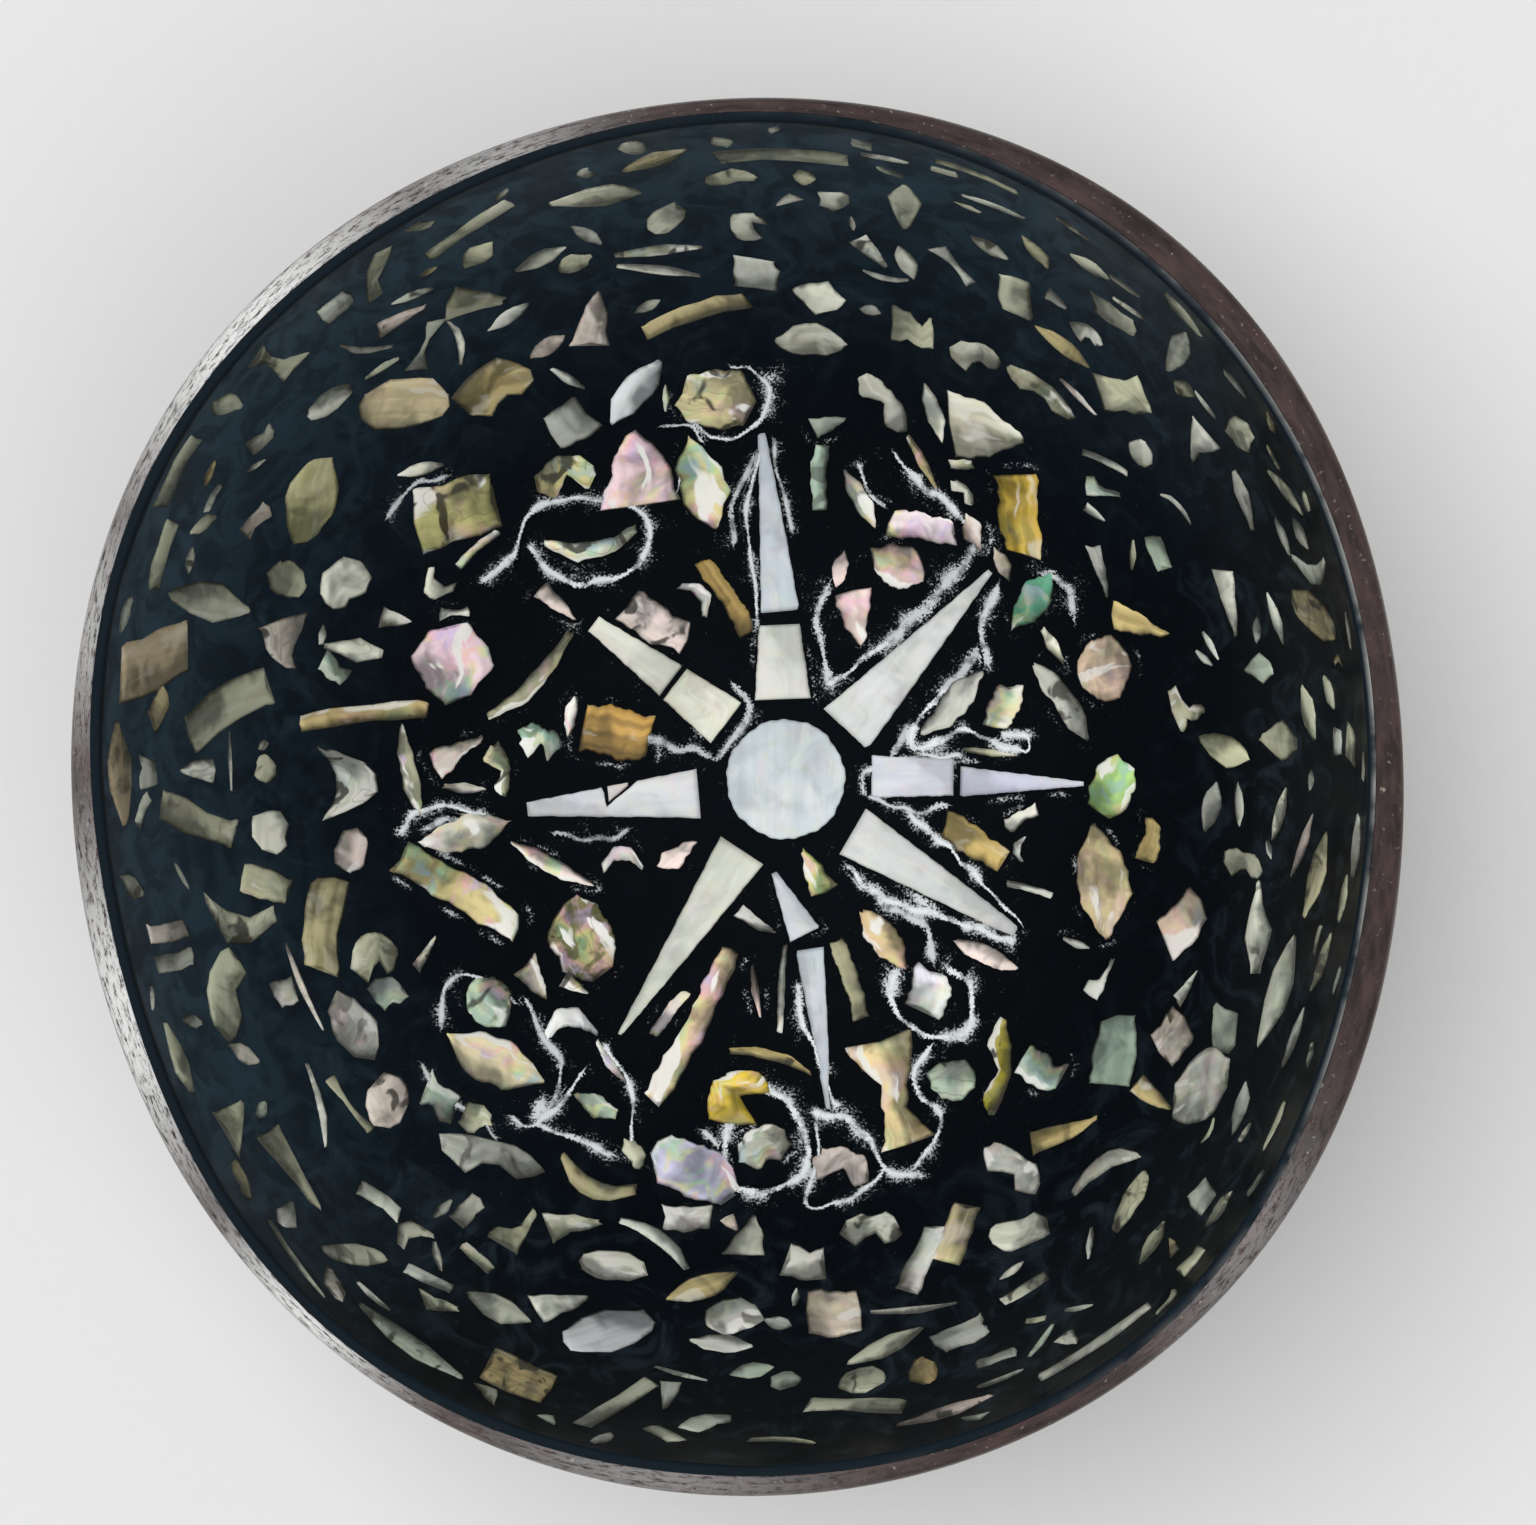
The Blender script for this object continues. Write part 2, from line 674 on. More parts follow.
@dataclass
class Strip:
    """An inlaid piece as two edges on the flat lining, with the same number of places on each."""

    low: Array
    high: Array

    @property
    def middle(self) -> Array:
        """Mean place of the piece."""
        return (self.low.mean(0) + self.high.mean(0)) / 2

    def along(self, steps: Array) -> tuple[Array, Array, float, float]:
        """Edges at even shares of the length of the middle line.

        Args:
            steps: shares from 0 to 1.

        Returns:
            The low edge, the high edge, the length and the mean width.
        """
        run = distances((self.low + self.high) / 2)
        low, high = (places_along(edge, run / run[-1], steps) for edge in (self.low, self.high))
        return low, high, float(run[-1]), float(np.linalg.norm(high - low, axis=1).mean())

    def outline(self) -> Array:
        """Places all round the piece, about four to a millimetre."""
        ring = np.concatenate([self.low, self.high[::-1], self.low[:1]])
        run = distances(ring)
        return places_along(ring, run, np.linspace(0, run[-1], int(run[-1] * 4) + 8))


def islands(triangles: Array, count: int) -> Array:
    """Sorts points into the islands that their triangles join.

    Args:
        triangles: point numbers, three to a triangle.
        count: number of points.

    Returns:
        For each point, the lowest point number of its island.
    """
    island = np.arange(count)
    settled = False
    while not settled:
        before = island.copy()
        np.minimum.at(island, triangles.ravel(), np.repeat(island[triangles].min(1), 3))
        settled = np.array_equal(before, island)
    return island


def read_strips(node: str) -> list[Strip]:
    """Reads the separate pieces of a node of the part, each as the two edges of its top.

    The triangles are joined at shared points and sorted into islands. The border of an island's top is
    walked as a ring, and its two ends are the opposite sides that lie farthest apart.

    Args:
        node: name of the node.

    Returns:
        The pieces, in the order of their lowest point number.
    """
    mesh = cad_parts[node].data
    mesh.calc_loop_triangles()
    places = np.empty(3 * len(mesh.vertices))
    mesh.vertices.foreach_get("co", places)
    corners = np.empty(3 * len(mesh.loop_triangles), np.int32)
    mesh.loop_triangles.foreach_get("vertices", corners)
    keys, shared = np.unique(np.round(places.reshape(-1, 3) / MM, 2), axis=0, return_inverse=True)
    triangles = shared.reshape(-1)[corners].reshape(-1, 3)
    flat, rise = NUT.unroll(keys)
    island = islands(triangles, len(keys))
    top = rise > (rise.max() + rise.min()) / 2
    caps = triangles[top[triangles].all(1)]
    sides = np.concatenate([caps[:, [0, 1]], caps[:, [1, 2]], caps[:, [2, 0]]])
    codes = sides[:, 0] * len(keys) + sides[:, 1]
    border = sides[~np.isin(codes, sides[:, 1] * len(keys) + sides[:, 0])]
    follow = np.full(len(keys), -1)
    follow[border[:, 0]] = border[:, 1]
    strips = []
    for name in np.unique(island[border[:, 0]]):
        members = np.flatnonzero((island == name) & (follow >= 0))
        ring = [members[0]]
        while follow[ring[-1]] != ring[0] and len(ring) < len(members):
            ring.append(follow[ring[-1]])
        loop = flat[ring[: len(ring) // 2 * 2]]
        half = len(loop) // 2
        middles = (loop + np.roll(loop, -1, axis=0)) / 2
        first = int(np.argmax(np.linalg.norm(middles[:half] - middles[half:], axis=1))) + 1
        loop = np.roll(loop, -first, axis=0)
        strips.append(Strip(loop[:half], loop[half:][::-1]))
    return strips


@dataclass
class Looks:
    """How each inlaid piece looks: its tint, and from 0 to 1 its play of colour, marks and hollows."""

    tints: Array
    lively: Array
    marks: Array
    broken: Array


@dataclass
class Inlay:
    """Pieces of sea shell sunk in the lacquer, each a strip with broken edges, a bevel and a low dome."""

    bed: float = 0.3
    brink: float = 0.56
    top: float = 0.74
    bevel: float = 0.35
    dome: float = 0.05
    ragged: float = 0.24
    bitten: float = 0.05
    hollowed: float = 0.45
    plump: float = 0.0
    skewed: float = 0.4
    deepest: float = 0.6
    tilt: float = 0.65
    fringe: float = 0.6
    chart_size: float = 300.0
    paces: tuple[float, ...] = (0.13, 0.34, 0.8)
    ragged_width: float = 2.5
    hollow_width: float = 1.4
    skewed_width: float = 2.4
    steps: int = 18
    shares: tuple[float, ...] = (0, 0.06, 0.25, 0.5, 0.75, 0.94, 1)

    def build(self, name: str, node: str, strips: list[Strip], looks: Looks,
              material: bpy.types.Material, slot: str, seed: int) -> None:
        """Makes one piece of all the strips of a node.

        A strip is a grid along and across it. Its edges lie a share of the width farther out and wander by
        a sum of sine waves of the way along, less a bell where the edge is broken hollow, and its ends are
        skewed and bowed. The height falls to the brink within a bevel of the nearest edge, and the ring of
        points closes below.

        Args:
            name: name of the piece.
            node: node that it replaces.
            strips: the pieces of shell.
            looks: how each strip looks.
            material: the finish.
            slot: the record's material slot.
            seed: seed of the edges.
        """
        draw = np.random.default_rng(seed)
        count = len(strips)
        run = np.concatenate([[0, 0.03], np.linspace(0.09, 0.91, self.steps - 4), [0.97, 1]])
        low, high, length, width = (np.array(some) for some in zip(*[strip.along(run) for strip in strips]))
        length = length[:, None]
        width = width[:, None]
        across = high - low
        wide = np.linalg.norm(across, axis=-1, keepdims=True)
        across /= np.maximum(wide, TINY)
        hollows = [looks.broken[:, None] * self.hollow(run, width, draw, chance)
                   for chance in (self.hollowed, 0.5 * self.hollowed)]
        room = self.deepest * wide[..., 0]
        spare = np.minimum(1, room / np.maximum(hollows[0] + hollows[1], TINY))
        spill = self.plump * wide[..., 0]
        low_out = spill + self.wander(run, length, width, draw) - spare * hollows[0]
        high_out = spill + self.wander(run, length, width, draw) - spare * hollows[1]
        low = low - across * low_out[..., None]
        high = high + across * high_out[..., None]
        share = np.array(self.shares)
        flat = low[:, :, None] * (1 - share[:, None]) + high[:, :, None] * share[:, None]
        flat = flat + self.ends(run, share, low, high, width, draw)
        side = np.minimum(share, 1 - share) * wide
        end = (np.minimum(run, 1 - run) * length)[..., None]
        inside = np.minimum(side, end)
        rise = self.brink + (self.top - self.brink) * ease(inside / self.bevel)
        rise = rise + self.dome * np.sin(np.pi * share) * (end > 0)
        slopes = draw.uniform(-self.tilt, self.tilt, (2, count, 1, 1))
        slant = slopes[0] * (2 * share - 1) + slopes[1] * (2 * run - 1)[None, :, None]
        below = np.stack([flat[:, :, -1], flat[:, :, 0]], 2)
        hidden = np.zeros((count, len(run), 2))
        flat = np.concatenate([flat, below], 2)
        rise = np.concatenate([rise, hidden + self.bed], 2)
        edge = np.concatenate([np.clip(inside / self.fringe, 0, 1), hidden], 2)
        slant = np.concatenate([slant, hidden], 2)
        ring = flat.shape[2]
        whole = len(run) * ring
        points = NUT.lay(flat, rise).reshape(-1, 3)
        shift = draw.uniform(0, self.chart_size, (count, 1, 1))
        chart_x = np.broadcast_to((run * length)[..., None] + shift, rise.shape)
        chart_y = np.concatenate([(share - 0.5) * wide, hidden], 2) + shift
        each = np.arange(count)[:, None, None] * whole
        faces = [(some[None] + each).reshape(-1, some.shape[1])
                 for some in inside_out(tube(len(run), ring))]
        fields = {
            "edge": edge.ravel(),
            "slant": slant.ravel(),
            "marks": np.repeat(looks.marks, whole),
            "lively": np.repeat(looks.lively, whole),
            "tint": np.repeat(looks.tints, whole, axis=0),
        }
        chart = np.stack([chart_x.ravel(), chart_y.ravel()], -1)
        piece = make_piece(name, points, faces, material, chart, fields)
        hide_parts(node)

    def wander(self, run: Array, length: Array, width: Array, draw: np.random.Generator) -> Array:
        """How far an edge wanders out: a slow wave of the piece's width, and two finer ones of set size.

        Args:
            run: shares of the way along.
            length: length of each piece.
            width: mean width of each piece.
            draw: source of random numbers.

        Returns:
            Distances out from the edge, one row to a piece.
        """
        fine = self.ragged * np.minimum(1, width / self.ragged_width)
        sizes = np.stack([self.bitten * width, 0.5 * fine, 0.3 * fine], -1)
        phases = draw.uniform(0, 2 * np.pi, (len(length), 1, 3))
        paces = np.array(self.paces) * draw.uniform(0.7, 1.3, (len(length), 1, 3))
        turns = 2 * np.pi * (run * length)[..., None] * paces
        return ((np.sin(turns + phases) - 0.1) * sizes).sum(-1)

    def hollow(self, run: Array, width: Array, draw: np.random.Generator, chance: float) -> Array:
        """How far an edge is broken inwards: a bell of the way along, on some of the wider pieces.

        Args:
            run: shares of the way along.
            width: mean width of each piece.
            draw: source of random numbers.
            chance: share of the pieces that have it.

        Returns:
            Distances in from the edge, one row to a piece.
        """
        deep, at, wide, pick = draw.uniform(0, 1, (4, len(width), 1))
        size = np.where((pick < chance) & (width > self.hollow_width), 0.15 + 0.3 * deep, 0) * width
        return size * bell((run - 0.25 - 0.5 * at) / (0.14 + 0.14 * wide))

    def ends(self, run: Array, share: Array, low: Array, high: Array, width: Array,
             draw: np.random.Generator) -> Array:
        """Moves of the grid that skew and bow the two ends: along the piece, fading out towards its middle.

        Args:
            run: shares of the way along.
            share: shares of the way across.
            low: low edges.
            high: high edges.
            width: mean width of each piece.
            draw: source of random numbers.

        Returns:
            Moves on the flat lining, one to a point of the grid.
        """
        spine = (low + high) / 2
        way = spine[:, -1] - spine[:, 0]
        way /= np.maximum(np.linalg.norm(way, axis=1, keepdims=True), TINY)
        fade = np.stack([-np.clip(1 - 2.5 * run, 0, 1), np.clip(2.5 * run - 1.5, 0, 1)])
        size = self.skewed * np.minimum(width, self.skewed_width)
        skew = draw.uniform(-0.5, 0.5, (2, len(low), 1)) * (2 * share - 1)
        bow = draw.uniform(-0.3, 0.3, (2, len(low), 1)) * np.cos(np.pi * (2 * share - 1)) - 0.2
        moves = size[None] * (skew + bow)
        total = (fade[:, None, :, None] * moves[:, :, None, :]).sum(0)
        return total[..., None] * way[:, None, None, :]


@dataclass(frozen=True)
class Standout:
    """A chip that looks unlike the others of its tone: where it lies on the lining, and its own looks."""

    arc: float
    azimuth: float
    tint: Colour
    lively: float
    marks: float

    @property
    def flat(self) -> Array:
        """Its place on the flat lining."""
        return self.arc * ways(np.radians(self.azimuth))


STANDOUTS = [Standout(*given) for given in (
    (39.5, 114.5, (240, 210, 216), 1.0, 0.3),
    (35, 105, (206, 198, 146), 1.0, 0.5),
    (33, 61, (240, 224, 226), 0.9, 0.4),
    (27.5, 61.5, (192, 172, 162), 0.7, 0.2),
    (40.5, 160.5, (236, 208, 216), 1.0, 0.4),
    (40.5, 199, (214, 198, 140), 1.0, 0.3),
    (46, 258, (210, 206, 230), 1.0, 0.2),
    (36.5, 262.5, (232, 200, 70), 0.6, 0.6),
    (37.5, 290, (226, 202, 152), 0.5, 0.5),
    (41, 307.5, (156, 146, 46), 0.5, 0.95),
    (46.5, 224.5, (226, 212, 174), 0.8, 0.3),
    (29.5, 250, (208, 184, 150), 0.9, 0.4),
    (29, 305, (238, 240, 236), 0.5, 0.2),
    (21, 302.5, (204, 180, 136), 0.6, 0.5),
    (29.5, 218.5, (116, 114, 74), 0.7, 0.95),
    (39.5, 359, (176, 214, 130), 0.7, 0.3),
    (40, 343, (202, 184, 142), 0.45, 0.55),
    (35.5, 35.5, (96, 164, 132), 0.5, 0.4),
    (20, 66, (230, 208, 200), 0.8, 0.4),
    (23, 129, (222, 206, 198), 0.3, 0.95),
    (44.5, 99, (206, 194, 150), 0.6, 0.9),
    (43, 125, (206, 196, 140), 0.7, 0.9),
    (11, 287, (190, 200, 120), 0.8, 0.5),
    (37, 229, (234, 236, 234), 0.3, 0.1),
    (20, 164.5, (188, 148, 76), 0.2, 0.3),
    (21.5, 107.5, (168, 140, 80), 0.1, 0.3),
    (41.5, 48, (200, 168, 66), 0.3, 0.2),
    (23, 342, (192, 166, 100), 0.2, 0.4),
    (40.5, 18.5, (206, 180, 158), 0.4, 0.6),
    (48.5, 58.5, (206, 202, 182), 0.3, 0.3),
    (48.5, 109.5, (216, 226, 226), 0.2, 0.1),
    (49.5, 139.5, (178, 174, 116), 0.5, 0.9),
    (53.5, 341.5, (216, 186, 170), 0.5, 0.3),
    (64, 133, (206, 190, 152), 0.3, 0.3),
    (64.5, 277, (206, 192, 172), 0.4, 0.2),
    (65, 147.5, (176, 172, 126), 0.15, 0.4),
    (66.5, 327, (170, 178, 166), 0.3, 0.8),
    (70.5, 254, (196, 198, 200), 0.1, 0.1),
    (72.5, 337.5, (204, 208, 188), 0.3, 0.2),
    (82.5, 168.5, (186, 168, 136), 0.2, 0.5),
    (92, 179, (164, 148, 118), 0.1, 0.6),
)]


@dataclass(frozen=True)
class ZoneLooks:
    """Looks of a zone's chips: their light, play of colour, share of the drab tint, and outlines."""

    dim: float
    lively: float
    muted: float
    inlay: Inlay


@dataclass
class ChipField:
    """All the broken chips, one piece to each zone and tone."""

    spread: float = 0.4
    purity: float = 0.7
    streaks: float = 0.38
    gold_streaks: float = 0.7
    drab: Colour = (188, 196, 174)
    near: float = 1.8
    coarse: tuple[float, ...] = (0, 0.1, 0.5, 0.9, 1)
    zones: dict[Zone, ZoneLooks] = field(init=False)

    def __post_init__(self) -> None:
        """Sets the looks of each zone, drabber and coarser towards the rim."""
        self.zones = {
            Zone.FLOOR: ZoneLooks(1.0, 1.0, 0.0, Inlay(plump=0.06, steps=24)),
            Zone.CURVE: ZoneLooks(1.0, 0.9, 0.2, Inlay(plump=0.08)),
            Zone.WALL: ZoneLooks(0.94, 0.45, 0.35, Inlay(plump=0.18, steps=10, shares=self.coarse)),
            Zone.RIM: ZoneLooks(0.84, 0.25, 0.5, Inlay(plump=0.18, steps=8, shares=self.coarse)),
        }

    def build(self) -> list[Strip]:
        """Makes the chips of every zone and tone.

        Returns:
            The strips of all the chips.
        """
        found = []
        for tone in Tone:
            streaks = self.gold_streaks if tone is Tone.GOLD else self.streaks
            material = NacreFinish(f"{tone.word} shell", streaks=streaks).material()
            for zone in Zone:
                name = f"{zone.value}_{tone.word}"
                node = f"{name}_chips"
                chips = read_strips(node)
                seed = 100 * list(Tone).index(tone) + list(Zone).index(zone)
                looks = self.looks(tone, zone, chips, seed)
                self.zones[zone].inlay.build(name, node, chips, looks, material, f"{tone.word}_shell", seed)
                found += chips
        return found

    def looks(self, tone: Tone, zone: Zone, strips: list[Strip], seed: int) -> Looks:
        """Random mixes of a tone's three shades, each lighter or darker, and drab up the wall.

        The chips that stand out have their own looks.

        Args:
            tone: the tone.
            zone: the zone, which sets how drab they are.
            strips: the chips.
            seed: seed of the mixes.

        Returns:
            The looks of the chips, with linear colours.
        """
        given = self.zones[zone]
        draw = np.random.default_rng(seed + 7)
        shades = np.array([linear(shade) for shade in tone.value])
        count = len(strips)
        mixed = draw.dirichlet(np.full(len(shades), self.purity), count) @ shades
        mixed += (np.array(linear(self.drab)) - mixed) * given.muted * draw.uniform(0.4, 1.2, (count, 1))
        mixed[:, :3] *= given.dim * draw.uniform(1 - self.spread, 1 + self.spread / 2, (count, 1))
        lively, marks = draw.uniform(0, 1, (2, count))
        looks = Looks(np.clip(mixed, 0, 1), given.lively * lively, marks, np.ones(count))
        middles = np.array([strip.middle for strip in strips])
        for standout in STANDOUTS:
            gaps = np.linalg.norm(middles - standout.flat, axis=1)
            if gaps.min() < self.near:
                chip = int(gaps.argmin())
                looks.tints[chip] = linear(standout.tint)
                looks.lively[chip] = standout.lively
                looks.marks[chip] = standout.marks
                looks.broken[chip] = 0
        return looks


@dataclass
class Star:
    """The star: sawn rays and a disc of white pearl, each with its own cast."""

    inlay: Inlay = field(default_factory=lambda: Inlay(
        ragged=0.07, bitten=0, hollowed=0, skewed=0, bevel=0.3, steps=40, dome=0.03))
    first_seed: int = 900
    disc_r: float = 6.7
    disc_rings: int = 30
    disc_steps: int = 180
    disc_saw: Waves = ((0.07, 7, 1.0), (0.05, 17, 0.0), (0.04, 31, 2.0))
    disc_slant: float = 0.2
    disc_chart: float = 40.0
    casts: dict[str, Colour] = field(default_factory=lambda: {
        "star_north_base": (212, 214, 206),
        "star_north_tip": (196, 204, 212),
        "star_north_east_ray": (216, 219, 218),
        "star_east_base": (212, 214, 224),
        "star_east_tip": (206, 208, 224),
        "star_south_east_ray": (210, 212, 210),
        "star_south_base": (200, 207, 214),
        "star_south_tip": (200, 207, 214),
        "star_south_west_ray": (208, 210, 198),
        "star_west_ray": (210, 212, 216),
        "star_west_patch": (206, 200, 196),
        "star_north_west_base": (226, 226, 210),
        "star_north_west_tip": (220, 220, 208),
    })
    disc_cast: Colour = (205, 214, 218)

    def build(self) -> list[Strip]:
        """Makes the rays and the disc.

        Returns:
            The strips of the rays, and the disc as a strip.
        """
        material = NacreFinish("white pearl", clouds=0.3, streaks=0.12, play=0.12, gleam=0.2, flaws=0,
                               rind=0.2).material()
        found = []
        for number, (node, cast) in enumerate(self.casts.items()):
            name = node.removeprefix("star_") + "_pearl"
            sawn = read_strips(node)
            looks = Looks(np.array([linear(cast)]), np.ones(1), np.zeros(1), np.zeros(1))
            self.inlay.build(name, node, sawn, looks, material, Slot.PEARL.value, self.first_seed + number)
            found += sawn
        return found + [self.disc(material)]

    def disc(self, material: bpy.types.Material) -> Strip:
        """Makes the disc: rings of a polar grid, flat on top, with a rounded brim and a sawn edge.

        Args:
            material: the finish.

        Returns:
            The disc as a strip, for what lies round it.
        """
        turn = around(self.disc_steps)
        saw = sum(size * np.sin(count * turn + phase) for size, count, phase in self.disc_saw)
        edge = self.disc_r + saw
        share = np.linspace(NEAR_AXIS, 0.93, self.disc_rings)
        share = np.concatenate([share, [0.96, 0.985, 1, 1, NEAR_AXIS]])
        brim = [0.72, 0.66, self.inlay.brink, self.inlay.bed, self.inlay.bed]
        rise = np.concatenate([np.full(self.disc_rings, self.inlay.top), brim])
        flat = share[:, None, None] * edge[None, :, None] * ways(turn)[None]
        level = NUT.lay(np.array([self.disc_r, 0.0]), np.float64(0.0))[2]
        points = NUT.lay(flat, np.zeros(flat.shape[:2]))
        points[..., 2] = level + rise[:, None]
        inside = np.clip((1 - share) * self.disc_r / self.inlay.fringe, 0, 1)
        inside[self.disc_rings + 3:] = 0
        rows = len(share)
        count = rows * self.disc_steps
        fields = {
            "edge": np.repeat(inside, self.disc_steps),
            "slant": (flat[..., 0] - flat[..., 1]).ravel() / self.disc_r * self.disc_slant,
            "marks": np.zeros(count),
            "lively": np.ones(count),
            "tint": np.tile(np.array(linear(self.disc_cast)), (count, 1)),
        }
        faces = inside_out(tube(rows, self.disc_steps))
        chart = flat.reshape(-1, 2)[:, ::-1] + self.disc_chart
        piece = make_piece("disc_pearl", points.reshape(-1, 3), faces, material, chart,
                           fields)
        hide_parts("star_disc")
        half = self.disc_steps // 2
        ring = ways(turn) * self.disc_r
        return Strip(ring[:half], ring[half:][::-1])


@dataclass(frozen=True)
class Scuff:
    """A ridge of lacquer that was rubbed to chalk: a curve through places given by arc and azimuth."""

    wide: float
    size: float
    places: tuple[tuple[float, float], ...]

    def curve(self) -> Array:
        """Flat points close together on a smooth curve through the places: a cubic of the nearest four."""
        arc, azimuth = np.array(self.places).T
        spots = arc[:, None] * ways(np.radians(azimuth))
        spots = np.concatenate([2 * spots[:1] - spots[1:2], spots, 2 * spots[-1:] - spots[-2:-1]])
        t = np.linspace(0, 1, 24)[None, :, None]
        a, b, c, d = (spots[k: len(spots) - 3 + k][:, None] for k in range(4))
        bend = (2 * a - 5 * b + 4 * c - d) * t**2 + (3 * b - a - 3 * c + d) * t**3
        return (b + ((c - a) * t + bend) / 2).reshape(-1, 2)


@dataclass(frozen=True)
class Cloud:
    """A patch of rubbed lacquer: a soft oval on the flat lining."""

    arc: float
    azimuth: float
    long: float
    wide: float
    heading: float
    size: float

    def at(self, flat: Array) -> Array:
        """Strength at flat places: a bell of the oval's own distance."""
        way = np.radians(self.heading)
        off = flat - self.arc * ways(np.radians(self.azimuth))
        x = (off[..., 0] * np.cos(way) + off[..., 1] * np.sin(way)) / self.long
        y = (off[..., 1] * np.cos(way) - off[..., 0] * np.sin(way)) / self.wide
        return self.size * np.exp(-2 * (x * x + y * y))


SCUFFS = [Scuff(*given) for given in (
    (0.5, 0.62, ((41, 146), (40, 140), (42, 134), (41, 128), (38, 122), (35, 118), (32, 118),
                (29.5, 123), (30, 130), (32, 136), (36, 138), (39, 137))),
    (0.4, 0.55, ((38, 93), (33.5, 96), (28.5, 98), (22, 98), (18, 99))),
    (0.5, 0.42, ((37, 95), (31.5, 100), (27.5, 102))),
    (0.4, 0.45, ((38.5, 91), (33.5, 90), (28.5, 88))),
    (0.4, 0.55, ((43, 108), (42, 104), (40, 103))),
    (0.3, 0.5, ((38, 119), (35, 114), (35, 110), (37, 108))),
    (0.9, 0.5, ((22, 77), (18, 78), (14, 71), (12, 64))),
    (0.5, 0.6, ((12, 64), (15.5, 58), (19, 53))),
    (1.3, 0.46, ((19, 53), (24, 51), (29, 50), (34, 50))),
    (0.7, 0.5, ((33, 42), (28.5, 37), (27, 30))),
    (0.8, 0.42, ((27, 34), (22, 30), (16.5, 24), (12.5, 13))),
    (0.4, 0.8, ((20.5, 29), (16.5, 24), (15, 16), (17, 13), (21, 16), (24, 11), (28, 7), (28.5, 10),
                (26, 12))),
    (0.35, 0.55, ((9, 351), (9.5, 7), (15, 10), (20, 8))),
    (0.5, 0.5, ((10, 348), (15, 346), (18.5, 351))),
    (0.4, 0.72, ((15, 344), (20, 338), (25, 333), (32, 329))),
    (0.45, 0.7, ((12, 306), (16, 308), (21, 316), (26.5, 322), (32, 325))),
    (0.7, 0.45, ((12, 118), (9, 116), (7.5, 146), (8, 160))),
    (0.8, 0.4, ((9, 161), (13, 164), (18, 162))),
    (0.5, 0.36, ((27, 193), (23, 198), (19, 198))),
    (0.4, 0.55, ((36.5, 76), (34, 73), (33, 70))),
    (0.6, 0.6, ((39, 70), (37, 64), (37, 60), (36, 54))),
    (0.9, 0.5, ((38.5, 38), (40, 34), (39, 30))),
    (0.6, 0.78, ((25, 300), (28, 296), (31.5, 298), (34, 302), (35, 307), (33, 311), (31, 313),
                (28.5, 312))),
    (0.8, 0.5, ((26, 310), (23, 314), (18, 309), (14, 306))),
    (0.5, 0.65, ((34.5, 299), (36, 295), (39, 294), (42, 296), (44.5, 294), (46.5, 290))),
    (0.6, 0.7, ((39, 262), (44, 262), (47, 265), (47, 270), (44.5, 274), (40, 274), (37, 272),
                (35, 268))),
    (0.6, 0.66, ((38, 276), (39, 281), (42, 284), (46, 286), (48, 290))),
    (0.4, 0.62, ((39, 276), (43.5, 276), (49, 274), (49, 279), (48, 282), (46, 286))),
    (0.4, 0.7, ((23.5, 274), (28, 275), (32, 278), (37, 280))),
    (0.5, 0.5, ((39, 221), (40, 227), (41, 232), (45, 235), (48.5, 235))),
    (0.5, 0.62, ((40.5, 236), (44.5, 236), (49, 235))),
    (0.6, 0.6, ((50, 232), (48, 238), (47, 243), (47, 246))),
    (0.5, 0.55, ((49, 216), (46.5, 212), (43, 212), (41, 216), (40, 220))),
    (0.4, 0.5, ((54, 219), (54, 224), (52.5, 228), (53, 232))),
    (0.4, 0.66, ((36.5, 237), (38, 242), (41, 246), (46, 248))),
    (0.5, 0.55, ((41, 258), (43, 262), (47, 264))),
    (0.4, 0.75, ((45.5, 187.5), (43, 185), (39.5, 184.5), (36, 186), (33.5, 188.5))),
    (0.6, 0.5, ((42, 187.5), (39.5, 187), (36.5, 187.5), (34, 188.5))),
    (0.4, 0.62, ((42, 103), (40, 101), (39.5, 97.5), (41, 93), (44, 91), (47, 92.5), (48.5, 96))),
    (0.5, 0.5, ((55.5, 145), (55.5, 142), (55, 139.5), (53, 137.5))),
)]


@dataclass
class Wear:
    """Wear at each place: its strongest ridge, the way to it in widths, dust, and the way to the inlay."""

    rubbed: Array
    ridge: Array
    dust: Array
    near: Array

    def press(self, box: Array, off: Array, size: float) -> None:
        """Adds a ridge where it is stronger than what is there.

        Args:
            box: numbers of the places.
            off: distance of each from the ridge in widths, with a sign for its side.
            size: strength of the ridge.
        """
        strength = size * np.exp(-((off / RIDGE_REACH) ** 4))
        wins = strength > self.rubbed[box]
        self.rubbed[box[wins]] = strength[wins]
        self.ridge[box[wins]] = off[wins]


